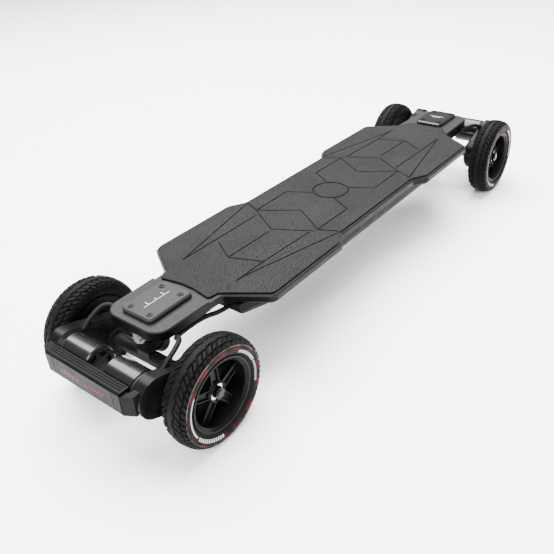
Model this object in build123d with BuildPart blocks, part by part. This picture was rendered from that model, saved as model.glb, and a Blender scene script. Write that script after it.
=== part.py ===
"""Four-wheel-drive electric skateboard with gear drives and double-kingpin trucks.

Millimetres. +X is the front, +Y the left side, +Z up. The pieces are drawn
about the point midway between the two axles, and saved with the origin on the
floor under the middle of the whole length, which the rear guard makes longer
behind than in front.
"""
from build123d import *
from math import acos, atan2, cos, hypot, pi, radians, sin, tan
import os

# ---- driving dimensions -------------------------------------------------
wheelbase = 1016.0
axle_x = wheelbase / 2
tyre_radius = 87.5
tyre_width = 47.0
axle_z = tyre_radius
wheel_y = 135.5

deck_top = 162.0
deck_bottom = 145.0
neck_bottom = 150.0
neck_start = 404.0
neck_tip = 532.0
neck_top = 166.0
neck_root_half = 63.5
neck_tip_half = 60.4
wing_half = 134.0
wing_corner_x = 354.0
wing_end_x = 164.0
waist_half = 115.0
waist_end_x = 134.0

pad_thickness = 4.0
pad_margin = 4.5
groove_width = 2.6
groove_depth = 1.6
ring_radius = 37.0

bolt_x = 476.0
bolt_pitch_x = 63.5
bolt_pitch_y = 41.3
bolt_radius = 2.5
bolt_clearance = 2.75

cover_length = 91.0
cover_half = 33.0
cover_height = 8.5
cover_lead = 2.3

motor_x = 583.0
motor_z = 114.5
motor_radius = 29.0
case_inner = 80.0
case_plate = 84.0
case_lip = 101.0
case_outer = 105.0
gear_inner = 88.0
gear_outer = 98.0
case_motor_radius = 32.5
guard_back = 628.0
frame_shift = (guard_back - motor_x - case_motor_radius) / 2

gear_module = 1.5
pressure_angle = radians(25)
wheel_teeth = 42
idler_teeth = 26
pinion_teeth = 14
backlash = 0.16

axle_radius = 6.0
kingpin_radius = 5.0
running_gap = 0.05

base_pivot = (455.0, 120.0)
base_angle = radians(55)
hanger_offset = 26.0
hanger_angle = radians(45)

enclosure_floor = 115.0
enclosure_wall = 3.0

ends = (("front", 1), ("rear", -1))
sides = (("left", 1), ("right", -1))

os.makedirs("parts", exist_ok=True)


def save(builder, name):
    """Label one finished piece and write it."""
    piece = builder.part.translate((frame_shift, 0, 0), transform=True)
    piece.label = name
    export_step(piece, "parts/" + name + ".step")


# ---- shared planes ------------------------------------------------------
def upright(y):
    """Plane across the board at y, with local axes X and Z."""
    return Plane.XZ.offset(-y)


def tilted(end, pivot, angle, height):
    """Plane square to a leaning kingpin, a given height along it."""
    x = end * (pivot[0] + height * cos(angle))
    z = pivot[1] + height * sin(angle)
    return Plane(origin=(x, 0, z), x_dir=(0, 1, 0), z_dir=(end * cos(angle), 0, sin(angle)))


def disc(plane, radius, thickness, mode=Mode.ADD):
    """Round slab standing on a plane."""
    with BuildSketch(plane) as profile:
        Circle(radius)
    extrude(profile.sketch, amount=thickness, mode=mode)


def ring(plane, outer, inner, thickness):
    """Washer-shaped slab standing on a plane."""
    with BuildSketch(plane) as profile:
        Circle(outer)
        Circle(inner, mode=Mode.SUBTRACT)
    extrude(profile.sketch, amount=thickness)


def bar_along_y(x, z, radius, y_start, y_end, mode=Mode.ADD):
    """Round bar lying across the board."""
    with BuildSketch(upright(y_start)) as profile:
        with Locations((x, z)):
            Circle(radius)
    extrude(profile.sketch, amount=y_start - y_end, mode=mode)


def sleeve_along_y(x, z, outer, inner, y_start, y_end):
    """Round tube lying across the board."""
    with BuildSketch(upright(y_start)) as profile:
        with Locations((x, z)):
            Circle(outer)
            Circle(inner, mode=Mode.SUBTRACT)
    extrude(profile.sketch, amount=y_start - y_end)


hanger_pivot = (axle_x - hanger_offset * sin(hanger_angle), axle_z + hanger_offset * cos(hanger_angle))
bolt_spots = [(sx * bolt_pitch_x / 2, sy * bolt_pitch_y / 2) for sx in (-1, 1) for sy in (-1, 1)]


# ---- deck ---------------------------------------------------------------
def deck_outline(inset):
    """Plan of the deck with a neck at each end and four wings, drawn inset by a margin."""
    neck_slope = (neck_root_half - neck_tip_half) / (neck_tip - neck_start)
    corner = [
        (waist_end_x - inset * 0.3, waist_half - inset),
        (wing_end_x + inset * 0.3, wing_half - inset),
        (wing_corner_x - inset * 0.6, wing_half - inset),
        (neck_start - 6 - inset * 0.6, neck_root_half + 6 * neck_slope - inset * 0.2),
    ]
    return corner


def mirrored_outline(front, rear):
    """Complete an outline from the points of its front left corner and of its rear one."""
    front_right = [(x, -y) for x, y in reversed(front)]
    rear_right = [(-x, -y) for x, y in rear]
    rear_left = [(-x, y) for x, y in reversed(rear)]
    return front + front_right + rear_right + rear_left


def plan_wire(points, radii):
    """Closed outline of straight runs joined by rounded corners."""
    with BuildLine() as wire:
        FilletPolyline(*points, radius=radii, close=True)
    make_face(wire.edges())


deck_corner = deck_outline(0) + [(neck_tip, neck_tip_half)]
deck_radii = [12, 12, 16, 14, 28]
deck_points = mirrored_outline(deck_corner, deck_corner)
deck_rounding = (deck_radii + deck_radii[::-1]) * 2
gap_front = [(427, 36.5), (399.5, 60)]
gap_rear = [(419.5, 14), (425.5, 54)]
with BuildPart() as deck:
    with BuildSketch(Plane.XY.offset(deck_bottom)):
        plan_wire(deck_points, deck_rounding)
    extrude(amount=deck_top - deck_bottom)
    chamfer(deck.edges().group_by(Axis.Z)[-1], length=2.0)
    chamfer(deck.edges().group_by(Axis.Z)[0], length=6.0)
    for end in (1, -1):
        with BuildSketch(upright(-80)):
            with BuildLine():
                Polyline(
                    (end * (neck_start - 8), deck_bottom - 1),
                    (end * (neck_start + 10), neck_bottom),
                    (end * (neck_tip + 5), neck_bottom),
                    (end * (neck_tip + 5), deck_bottom - 1),
                    close=True,
                )
            make_face()
        extrude(amount=-160, mode=Mode.SUBTRACT)
    for end, gap in ((1, gap_front), (-1, gap_rear)):
        with BuildSketch(Plane.XY.offset(neck_bottom)):
            plan_wire(deck_points, deck_rounding)
            with BuildLine():
                edge = [(end * x, y) for x, y in gap]
                reach = [(edge[-1][0], 90), (end * 560, 90), (end * 560, -90), (edge[-1][0], -90)]
                Polyline(*edge, *reach, *[(x, -y) for x, y in reversed(edge)], close=True)
            make_face(mode=Mode.INTERSECT)
        extrude(amount=neck_top - neck_bottom)
    chamfer(deck.edges().group_by(Axis.Z)[-1], length=1.6)
    for end in (1, -1):
        with BuildSketch(Plane.XY.offset(deck_bottom)):
            with Locations((end * bolt_x, 0)):
                with Locations(*bolt_spots):
                    Circle(bolt_clearance)
        extrude(amount=neck_top - deck_bottom, mode=Mode.SUBTRACT)
    with BuildSketch(Plane.XY.offset(deck_bottom)):
        with GridLocations(155, 172, 5, 2):
            Circle(2.0)
    extrude(amount=10, mode=Mode.SUBTRACT)
save(deck, "deck")

# ---- grip pad -----------------------------------------------------------
groove_runs = [
    [(-28, 24), (-53, 71), (-150, 70)],
    [(-134, 105), (-150, 70), (-194, 0), (-157, -71)],
    [(-150, 70), (-104, -2), (-150, -72)],
    [(-134, 105), (-360, 60)],
    [(-166, 58), (-360, 60)],
    [(-282, 48), (-311, 0), (-203, -2)],
    [(-311, 0), (-289, -59)],
    [(-165, -65), (-289, -59), (-360, -59)],
    [(-139, -110), (-334, -62), (-360, -59)],
    [(-27, -26), (-54, -73), (-150, -72), (-134, -110)],
]
pad_front = deck_outline(pad_margin) + [(424, 38)]
pad_rear = deck_outline(pad_margin) + [(400, 56.5), (419, 54), (412, 14)]
front_radii = [10, 10, 14, 10, 6]
rear_radii = [10, 10, 14, 4, 6, 6, 20]
with BuildPart() as grip_pad:
    with BuildSketch(Plane.XY.offset(deck_top)):
        plan_wire(
            mirrored_outline(pad_front, pad_rear),
            front_radii + front_radii[::-1] + rear_radii + rear_radii[::-1],
        )
    extrude(amount=pad_thickness)
    chamfer(grip_pad.edges().group_by(Axis.Z)[-1], length=0.8)
    for turn in (1, -1):
        for run in groove_runs:
            with BuildSketch(Plane.XY.offset(deck_top + pad_thickness - groove_depth)):
                with BuildLine():
                    Polyline(*[(turn * x, turn * y) for x, y in run])
                trace(line_width=groove_width)
            extrude(amount=groove_depth, mode=Mode.SUBTRACT)
    with BuildSketch(Plane.XY.offset(deck_top + pad_thickness - groove_depth)):
        Circle(ring_radius)
        Circle(ring_radius - 3.5, mode=Mode.SUBTRACT)
    extrude(amount=groove_depth, mode=Mode.SUBTRACT)
save(grip_pad, "grip_pad")

# ---- neck covers and truck bolts ---------------------------------------
cover_shift = bolt_x - cover_lead
for name, end in ends:
    with BuildPart() as cover:
        with BuildSketch(Plane.XY.offset(neck_top)):
            with Locations((end * cover_shift, 0)):
                RectangleRounded(cover_length, 2 * cover_half, 9)
        extrude(amount=cover_height)
        chamfer(cover.edges().group_by(Axis.Z)[-1], length=2.5)
        with BuildSketch(Plane.XY.offset(neck_top)):
            with Locations((end * bolt_x, 0)):
                with Locations(*bolt_spots):
                    Circle(bolt_clearance)
        extrude(amount=cover_height, mode=Mode.SUBTRACT)
        with BuildSketch(Plane.XY.offset(neck_top + cover_height - 2)):
            with Locations((end * bolt_x, 0)):
                with Locations(*bolt_spots):
                    Circle(5.2)
        extrude(amount=2, mode=Mode.SUBTRACT)
    save(cover, name + "_cover")

baseplate_bottom = 140.0
bolt_tail = 2.5
nut_height = 2.0
head_seat = neck_top + cover_height - 2
with BuildPart() as truck_bolts:
    for end in (1, -1):
        for dx, dy in bolt_spots:
            centre = (end * bolt_x + dx, dy)
            with BuildSketch(Plane.XY.offset(baseplate_bottom - bolt_tail)):
                with Locations(centre):
                    Circle(bolt_radius)
            extrude(amount=head_seat - baseplate_bottom + bolt_tail)
            with BuildSketch(Plane.XY.offset(head_seat)):
                with Locations(centre):
                    Circle(4.7)
            extrude(amount=3)
            with BuildSketch(Plane.XY.offset(head_seat + 1.2)):
                with Locations(centre):
                    RegularPolygon(1.75, 6)
            extrude(amount=1.8, mode=Mode.SUBTRACT)
            with BuildSketch(Plane.XY.offset(baseplate_bottom - nut_height)):
                with Locations(centre):
                    RegularPolygon(4.6, 6)
            extrude(amount=nut_height)
save(truck_bolts, "truck_bolts")


# ---- trucks: baseplates, kingpins and bushings --------------------------
bushing_radius = 13.0
link_half = 6.0
base_boss_face = 18.0

for name, end in ends:
    with BuildPart() as baseplate:
        with BuildSketch(Plane.XY.offset(baseplate_bottom)):
            with Locations((end * 478, 0)):
                RectangleRounded(96, 60, 8)
            with Locations((end * 515, 0)):
                Rectangle(30, 34, mode=Mode.SUBTRACT)
        extrude(amount=neck_bottom - baseplate_bottom)
        disc(tilted(end, base_pivot, base_angle, base_boss_face), 16, 30)
        with BuildSketch(Plane.XY.offset(neck_bottom)):
            with Locations((end * 478, 0)):
                Rectangle(160, 100)
        extrude(amount=60, mode=Mode.SUBTRACT)
        disc(tilted(end, base_pivot, base_angle, 0), bushing_radius + 1, base_boss_face, Mode.SUBTRACT)
        disc(tilted(end, base_pivot, base_angle, 0), kingpin_radius, 60, Mode.SUBTRACT)
        with BuildSketch(Plane.XY.offset(baseplate_bottom - 20)):
            with Locations((end * bolt_x, 0)):
                with Locations(*bolt_spots):
                    Circle(bolt_clearance)
        extrude(amount=40, mode=Mode.SUBTRACT)
    save(baseplate, name + "_baseplate")

with BuildPart() as deck_kingpins:
    for name, end in ends:
        disc(tilted(end, base_pivot, base_angle, -30), kingpin_radius, 58)
        ring(tilted(end, base_pivot, base_angle, -20.5), 12.5, kingpin_radius, 2.4)
        with BuildSketch(tilted(end, base_pivot, base_angle, -28)):
            RegularPolygon(9, 6)
        extrude(amount=7.5)
    with BuildSketch(Plane.XY.offset(neck_bottom)):
        Rectangle(1200, 100)
    extrude(amount=30, mode=Mode.SUBTRACT)
save(deck_kingpins, "deck_kingpins")

with BuildPart() as deck_bushings:
    for name, end in ends:
        for start in (link_half, -18.0):
            with BuildSketch(tilted(end, base_pivot, base_angle, start)):
                Circle(bushing_radius)
                Circle(kingpin_radius, mode=Mode.SUBTRACT)
            extrude(amount=12)
save(deck_bushings, "deck_bushings")

ring_start = 12.0
ring_end = 24.0
link_boss_start = -16.0
link_boss_end = -1.0
for name, end in ends:
    with BuildPart() as link:
        disc(tilted(end, base_pivot, base_angle, -link_half), 16, 2 * link_half)
        disc(tilted(end, hanger_pivot, hanger_angle, link_boss_start), 15, link_boss_end - link_boss_start)
        with BuildSketch(upright(-11)):
            with BuildLine():
                Polyline(
                    (end * 467.0, 116.6),
                    (end * 478.9, 113.0),
                    (end * 469.5, 101.6),
                    (end * 460.8, 106.8),
                    close=True,
                )
            make_face()
        extrude(amount=-22)
        disc(tilted(end, base_pivot, base_angle, -20), kingpin_radius + running_gap, 40, Mode.SUBTRACT)
        disc(tilted(end, hanger_pivot, hanger_angle, -25), kingpin_radius, 40, Mode.SUBTRACT)
        disc(tilted(end, base_pivot, base_angle, link_half), bushing_radius + 1, 14, Mode.SUBTRACT)
        disc(tilted(end, base_pivot, base_angle, -20), bushing_radius + 1, 20 - link_half, Mode.SUBTRACT)
    save(link, name + "_link")

    with BuildPart() as kingpin:
        disc(tilted(end, hanger_pivot, hanger_angle, link_boss_start), kingpin_radius, 64)
        disc(tilted(end, hanger_pivot, hanger_angle, link_boss_start - 5.5), 8.5, 5.5)
        with BuildSketch(tilted(end, hanger_pivot, hanger_angle, link_boss_start - 5.5)):
            RegularPolygon(4, 6)
        extrude(amount=3, mode=Mode.SUBTRACT)
        ring(tilted(end, hanger_pivot, hanger_angle, 36.1), 12.5, kingpin_radius, 2.4)
        with BuildSketch(tilted(end, hanger_pivot, hanger_angle, 38.5)):
            RegularPolygon(9, 6)
        extrude(amount=7.5)
    save(kingpin, name + "_link_kingpin")

    with BuildPart() as bushings:
        for start, height in ((link_boss_end, ring_start - link_boss_end), (ring_end, 12)):
            with BuildSketch(tilted(end, hanger_pivot, hanger_angle, start)):
                Circle(bushing_radius)
                Circle(kingpin_radius, mode=Mode.SUBTRACT)
            extrude(amount=height)
    save(bushings, name + "_link_bushings")


# ---- hangers and axles --------------------------------------------------
hanger_tube = 12.0
nut_seat = 143.3
nut_end = 149.0
axle_end = 150.5
ring_mid = (ring_start + ring_end) / 2
ring_x = hanger_pivot[0] + ring_mid * cos(hanger_angle)
ring_z = hanger_pivot[1] + ring_mid * sin(hanger_angle)
for name, end in ends:
    with BuildPart() as hanger:
        bar_along_y(end * axle_x, axle_z, hanger_tube, -case_inner, case_inner)
        for side in (1, -1):
            bar_along_y(end * axle_x, axle_z, 18, side * (case_inner - 7), side * case_inner)
        with BuildSketch(upright(-13)):
            with BuildLine():
                Polyline(
                    (end * (axle_x - 4), axle_z + 2),
                    (end * (ring_x - 3), ring_z - 4),
                    (end * (ring_x + 16), ring_z - 16),
                    (end * (axle_x + 11), axle_z + 2),
                    close=True,
                )
            make_face()
        extrude(amount=-26)
        disc(tilted(end, hanger_pivot, hanger_angle, ring_start + 0.1), 17, ring_end - ring_start - 0.2)
        disc(tilted(end, hanger_pivot, hanger_angle, ring_end - 0.1), 20, 40, Mode.SUBTRACT)
        disc(tilted(end, hanger_pivot, hanger_angle, -30), 16, 30 + ring_start + 0.1, Mode.SUBTRACT)
        disc(tilted(end, hanger_pivot, hanger_angle, 0), kingpin_radius + running_gap, 40, Mode.SUBTRACT)
        bar_along_y(end * axle_x, axle_z, axle_radius, -case_inner, case_inner, Mode.SUBTRACT)
    save(hanger, name + "_hanger")

    with BuildPart() as axle:
        bar_along_y(end * axle_x, axle_z, axle_radius, -axle_end, axle_end)
        for side in (1, -1):
            for start, stop, outer in ((case_plate, 103.9, 8), (112.1, 133.9, 8), (142.1, nut_seat, 9.5)):
                sleeve_along_y(end * axle_x, axle_z, outer, axle_radius, side * start, side * stop)
            with BuildSketch(upright(side * nut_seat)):
                with Locations((end * axle_x, axle_z)):
                    RegularPolygon(10, 6)
            extrude(amount=side * (nut_seat - nut_end))
    save(axle, name + "_axle")


# ---- gear drive ---------------------------------------------------------
def pitch_radius(teeth):
    """Pitch radius of a gear."""
    return gear_module * teeth / 2


def involute(angle):
    """Involute function of a pressure angle."""
    return tan(angle) - angle


def flank_point(teeth, radius):
    """Half-angle of a tooth at a radius on its involute flank."""
    pitch = pitch_radius(teeth)
    base = pitch * cos(pressure_angle)
    half = pi / (2 * teeth) - backlash / (2 * pitch)
    local = acos(min(1.0, base / max(radius, base)))
    return half + involute(pressure_angle) - involute(local)


def gear_outline(teeth, phase, x, z):
    """Closed outline of a spur gear, each flank an arc through three involute points."""
    pitch = pitch_radius(teeth)
    tip = pitch + 0.95 * gear_module
    root = pitch - 1.2 * gear_module

    def spot(radius, angle):
        return (x + radius * cos(angle), z + radius * sin(angle))

    with BuildLine() as wire:
        for tooth in range(teeth):
            middle = phase + 2 * pi * tooth / teeth
            following = middle + 2 * pi / teeth
            widths = [flank_point(teeth, radius) for radius in (root, pitch, tip)]
            rising = [spot(r, middle - w) for r, w in zip((root, pitch, tip), widths)]
            falling = [spot(r, middle + w) for r, w in zip((tip, pitch, root), widths[::-1])]
            ThreePointArc(*rising)
            Line(rising[2], falling[0])
            ThreePointArc(*falling)
            Line(falling[2], spot(root, following - widths[0]))
    make_face(wire.edges())


def meshed_phase(teeth_a, phase_a, teeth_b, direction):
    """Phase of gear B that meshes with gear A, whose centre lies opposite the direction."""
    lead = (direction - phase_a) / (2 * pi / teeth_a)
    return direction + pi - (0.5 - lead) * 2 * pi / teeth_b


motor_distance = hypot(motor_x - axle_x, motor_z - axle_z)
wheel_to_idler = pitch_radius(wheel_teeth) + pitch_radius(idler_teeth)
idler_to_motor = pitch_radius(idler_teeth) + pitch_radius(pinion_teeth)
line_angle = atan2(motor_z - axle_z, motor_x - axle_x)
squares = wheel_to_idler**2 + motor_distance**2 - idler_to_motor**2
drop_cosine = squares / (2 * wheel_to_idler * motor_distance)
idler_angle = line_angle - acos(drop_cosine)
idler_x = axle_x + wheel_to_idler * cos(idler_angle)
idler_z = axle_z + wheel_to_idler * sin(idler_angle)


def drive_angles(end):
    """Directions wheel to idler and idler to motor at one end of the board."""
    first = atan2(idler_z - axle_z, end * (idler_x - axle_x))
    second = atan2(motor_z - idler_z, end * (motor_x - idler_x))
    return first, second


case_axle_radius = 37.0
case_wall = 3.0
idler_pin_radius = 5.0
cable_radius = 4.0
cable_corner = (508.0, 89.0, 163.0)
cable_end = (549.0, 86.5, 138.4)


def case_hull(end, inset):
    """Outline of the gear case round the axle and the motor axis."""
    with Locations((end * axle_x, axle_z)):
        Circle(case_axle_radius - inset)
    with Locations((end * motor_x, motor_z)):
        Circle(case_motor_radius - inset)
    make_hull()


def gland_plane(end, side, back):
    """Plane square to the last straight run of a motor cable."""
    corner = Vector(end * cable_corner[0], side * cable_corner[1], cable_corner[2])
    finish = Vector(end * cable_end[0], side * cable_end[1], cable_end[2])
    along = (finish - corner).normalized()
    return Plane(origin=finish - along * back, z_dir=along)


for name, end in ends:
    with BuildPart() as gear_cases:
        for side in (1, -1):
            with BuildSketch(upright(side * case_inner)):
                case_hull(end, 0)
            extrude(amount=side * (case_inner - case_lip))
        for side in (1, -1):
            face_y = side * case_inner
            rim_edges = gear_cases.edges().filter_by_position(Axis.Y, face_y - 0.1, face_y + 0.1)
            chamfer(rim_edges, length=5)
        for side in (1, -1):
            disc(gland_plane(end, side, 5), 6.5, 14)
            with BuildSketch(upright(side * case_plate)):
                case_hull(end, case_wall)
            extrude(amount=side * (case_plate - case_lip), mode=Mode.SUBTRACT)
            bar_along_y(end * idler_x, idler_z, idler_pin_radius, side * case_plate, side * case_lip)
            plate_start = side * (case_inner - 5)
            plate_end = side * (case_plate + 3)
            bar_along_y(end * axle_x, axle_z, axle_radius, plate_start, plate_end, Mode.SUBTRACT)
            bar_along_y(end * motor_x, motor_z, 9, plate_start, plate_end, Mode.SUBTRACT)
            disc(gland_plane(end, side, 8), cable_radius + 0.15, 13, Mode.SUBTRACT)
    save(gear_cases, name + "_gear_cases")

    with BuildPart() as gear_covers:
        for side in (1, -1):
            with BuildSketch(upright(side * case_lip)):
                case_hull(end, 0)
                with Locations((end * axle_x, axle_z)):
                    Circle(20.6, mode=Mode.SUBTRACT)
            extrude(amount=side * (case_lip - case_outer))
            with BuildSketch(upright(side * (case_outer - 1))):
                case_hull(end, 9)
                with Locations((end * axle_x, axle_z)):
                    Circle(26, mode=Mode.SUBTRACT)
            extrude(amount=-side, mode=Mode.SUBTRACT)
    save(gear_covers, name + "_gear_covers")

# ---- motors -------------------------------------------------------------
stator_radius = 25.0
stator_inner = 24.0
stator_outer = 72.0
for name, end in ends:
    with BuildPart() as stators:
        for side in (1, -1):
            bar_along_y(end * motor_x, motor_z, stator_radius, side * stator_inner, side * stator_outer)
            with BuildSketch(upright(side * stator_inner)):
                with Locations((end * motor_x, motor_z)):
                    with PolarLocations(18.5, 12):
                        Rectangle(15, 3.2)
            extrude(amount=side * (stator_inner - stator_outer), mode=Mode.SUBTRACT)
            bar_along_y(end * motor_x, motor_z, 8.5, side * stator_inner, side * case_plate)
            bar_along_y(end * motor_x, motor_z, 27.5, side * 77, side * case_inner)
            bar_along_y(end * motor_x, motor_z, 4 + running_gap, side * 20, side * 90, Mode.SUBTRACT)
    save(stators, name + "_motor_stators")

    for side_name, side in sides:
        first, second = drive_angles(end)
        wheel_phase = first
        idler_phase = meshed_phase(wheel_teeth, wheel_phase, idler_teeth, first)
        pinion_phase = meshed_phase(idler_teeth, idler_phase, pinion_teeth, second)
        corner = name + "_" + side_name

        with BuildPart() as rotor:
            sleeve_along_y(end * motor_x, motor_z, motor_radius, 26.0, side * 20, side * 76)
            bar_along_y(end * motor_x, motor_z, motor_radius, side * 18, side * 22)
            chamfer(rotor.edges().filter_by_position(Axis.Y, side * 18 - 0.1, side * 18 + 0.1), length=2)
            with BuildSketch(upright(side * 18)):
                with Locations((end * motor_x, motor_z)):
                    with PolarLocations(17, 6):
                        SlotCenterToCenter(5, 7, rotation=90)
            extrude(amount=-side * 4, mode=Mode.SUBTRACT)
            bar_along_y(end * motor_x, motor_z, 4, side * 18, side * (gear_outer + 1))
            with BuildSketch(upright(side * gear_inner)):
                gear_outline(pinion_teeth, pinion_phase, end * motor_x, motor_z)
            extrude(amount=side * (gear_inner - gear_outer))
        save(rotor, corner + "_motor_rotor")

        with BuildPart() as idler:
            with BuildSketch(upright(side * gear_inner)):
                gear_outline(idler_teeth, idler_phase, end * idler_x, idler_z)
                with Locations((end * idler_x, idler_z)):
                    Circle(idler_pin_radius + running_gap, mode=Mode.SUBTRACT)
            extrude(amount=side * (gear_inner - gear_outer))
            with BuildSketch(upright(side * (gear_inner + 3))):
                with Locations((end * idler_x, idler_z)):
                    with PolarLocations(11.5, 6):
                        Circle(2.4)
            extrude(amount=side * (gear_inner - gear_outer), both=True, mode=Mode.SUBTRACT)
        save(idler, corner + "_idler_gear")

        with BuildPart() as wheel_gear:
            with BuildSketch(upright(side * gear_inner)):
                gear_outline(wheel_teeth, wheel_phase, end * axle_x, axle_z)
                with Locations((end * axle_x, axle_z)):
                    Circle(12, mode=Mode.SUBTRACT)
                    with PolarLocations(24, 6):
                        Circle(3.4, mode=Mode.SUBTRACT)
            extrude(amount=side * (gear_inner - gear_outer))
        save(wheel_gear, corner + "_wheel_gear")


# ---- wheels -------------------------------------------------------------
rim_inner = 116.0
rim_outer = 155.0
bead_radius = 56.0
flange_radius = 60.5


def wheel_axis(end):
    """Spin axis of the wheels at one end."""
    return Axis((end * axle_x, 0, axle_z), (0, 1, 0))


def wheel_profile(end, side, points):
    """Half section of a wheel piece, drawn as radius and distance from the centre line."""
    with BuildLine() as wire:
        Polyline(*[(end * axle_x + radius, side * y) for radius, y in points], close=True)
    make_face(wire.edges())


def tyre_section(end, side):
    """Horseshoe section of a pneumatic tyre seated between the rim flanges."""

    def at(radius, offset):
        return (end * axle_x + radius, side * (wheel_y + offset))

    half = tyre_width / 2
    with BuildLine() as wire:
        ThreePointArc(at(82.5, -19), at(tyre_radius, 0), at(82.5, 19))
        ThreePointArc(at(82.5, 19), at(72, half), at(61.5, 18.6))
        Polyline(at(61.5, 18.6), at(61, 16.5), at(bead_radius, 16.5), at(bead_radius, 11), at(62, 13))
        ThreePointArc(at(62, 13), at(71, half - 4.5), at(78.5, 15.5))
        ThreePointArc(at(78.5, 15.5), at(81, 0), at(78.5, -15.5))
        ThreePointArc(at(78.5, -15.5), at(71, 4.5 - half), at(62, -13))
        Polyline(at(62, -13), at(bead_radius, -11), at(bead_radius, -16.5), at(61, -16.5), at(61.5, -18.6))
        ThreePointArc(at(61.5, -18.6), at(72, -half), at(82.5, -19))
    make_face(wire.edges())


hub_points = [
    (20, gear_outer), (20, 119), (52.5, 119), (52.5, 121.5), (19, 121.5), (19, 140), (15.5, 145), (14, 145),
    (14, 134), (10, 134), (10, 112), (14, 112), (14, gear_outer),
]
barrel_points = [
    (flange_radius, rim_inner), (flange_radius, rim_inner + 3), (bead_radius, rim_inner + 3),
    (bead_radius, rim_outer - 3), (flange_radius, rim_outer - 3), (flange_radius, rim_outer),
    (54, rim_outer), (52.5, rim_outer - 3), (52.5, rim_inner),
]
for name, end in ends:
    for side_name, side in sides:
        corner = name + "_" + side_name
        with BuildPart() as tyre:
            with BuildSketch(Plane.XY.offset(axle_z)):
                tyre_section(end, side)
            revolve(axis=wheel_axis(end))
        save(tyre, corner + "_tyre")

        with BuildPart() as rim:
            for points in (hub_points, barrel_points):
                with BuildSketch(Plane.XY.offset(axle_z)):
                    wheel_profile(end, side, points)
                revolve(axis=wheel_axis(end))
            with BuildSketch(upright(side * 134)):
                with Locations((end * axle_x, axle_z)):
                    for spoke in range(5):
                        turn = 90 + 72 * spoke
                        for shift in (-6.5, 6.5):
                            spot = Vector(36, shift).rotate(Axis.Z, turn)
                            with Locations((spot.X, spot.Y)):
                                Rectangle(36, 6, rotation=turn)
            extrude(amount=side * (134 - 143))
        save(rim, corner + "_rim")

        with BuildPart() as bearings:
            for start, stop in ((104, 112), (134, 142)):
                sleeve_along_y(end * axle_x, axle_z, 14, axle_radius + running_gap, side * start, side * stop)
        save(bearings, corner + "_wheel_bearings")

# ---- rear guard ---------------------------------------------------------
guard_half = 82.0
guard_top = 142.0
guard_bottom = 101.0
with BuildPart() as bumper:
    with BuildSketch(upright(-guard_half)):
        with BuildLine():
            Polyline(
                (11 - guard_back, guard_bottom),
                (4 - guard_back, guard_bottom),
                (-guard_back, guard_bottom + 5),
                (-guard_back, guard_top - 3),
                (3 - guard_back, guard_top),
                (19 - guard_back, guard_top),
                (19 - guard_back, guard_top - 4),
                (11 - guard_back, guard_top - 4),
                close=True,
            )
        make_face()
    extrude(amount=-2 * guard_half)
    for offset in (7.5, 11.5, 15.5):
        with BuildSketch(upright(4 - guard_half)):
            with Locations((offset - guard_back, guard_top)):
                Rectangle(1.6, 2.4)
        extrude(amount=-2 * (guard_half - 4), mode=Mode.SUBTRACT)
    with BuildSketch(Plane.YZ.offset(-guard_back)):
        with GridLocations(2 * (guard_half - 16), 0, 2, 1):
            with Locations((0, (guard_top + guard_bottom) / 2)):
                Rectangle(1.0, guard_top - guard_bottom + 4)
    extrude(amount=0.8, mode=Mode.SUBTRACT)
    for side in (1, -1):
        with BuildSketch(Plane.XY.offset(104)):
            with BuildLine():
                Polyline(
                    (-617, side * 80),
                    (-627, side * 80),
                    (-627, side * 83),
                    (-618, side * 99),
                    (-598, side * 99),
                    (-598, side * 90),
                    (-614, side * 87),
                    close=True,
                )
            make_face()
        extrude(amount=34)
        with BuildSketch(upright(side * (case_inner - 10))):
            with Locations((-motor_x, motor_z)):
                Circle(case_motor_radius)
        extrude(amount=-side * 40, mode=Mode.SUBTRACT)
save(bumper, "rear_bumper")


# ---- motor cables -------------------------------------------------------
for name, end in ends:
    with BuildPart() as cables:
        for side in (1, -1):
            route = [
                (end * 387.6, side * 62, 134),
                (end * 404, side * 62, 134),
                (end * 436, side * 52, 138.5),
                (end * 500, side * 53, 138.5),
                (end * cable_corner[0], side * cable_corner[1], cable_corner[2]),
                (end * cable_end[0], side * cable_end[1], cable_end[2]),
            ]
            with BuildLine() as path:
                FilletPolyline(*route, radius=(14, 14, 12, 9))
            with BuildSketch(Plane(origin=path.line @ 0, z_dir=path.line % 0)):
                Circle(cable_radius)
            sweep(path=path.line)
    save(cables, name + "_motor_cables")


# ---- enclosure and what it holds ---------------------------------------
def enclosure_outline(length, width, corner_x, corner_y):
    """Eight-sided plan of the enclosure at one level."""
    with BuildLine() as wire:
        corner = [(corner_x, width), (length, corner_y)]
        Polyline(*mirrored_outline(corner, corner), close=True)
    make_face(wire.edges())


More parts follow.
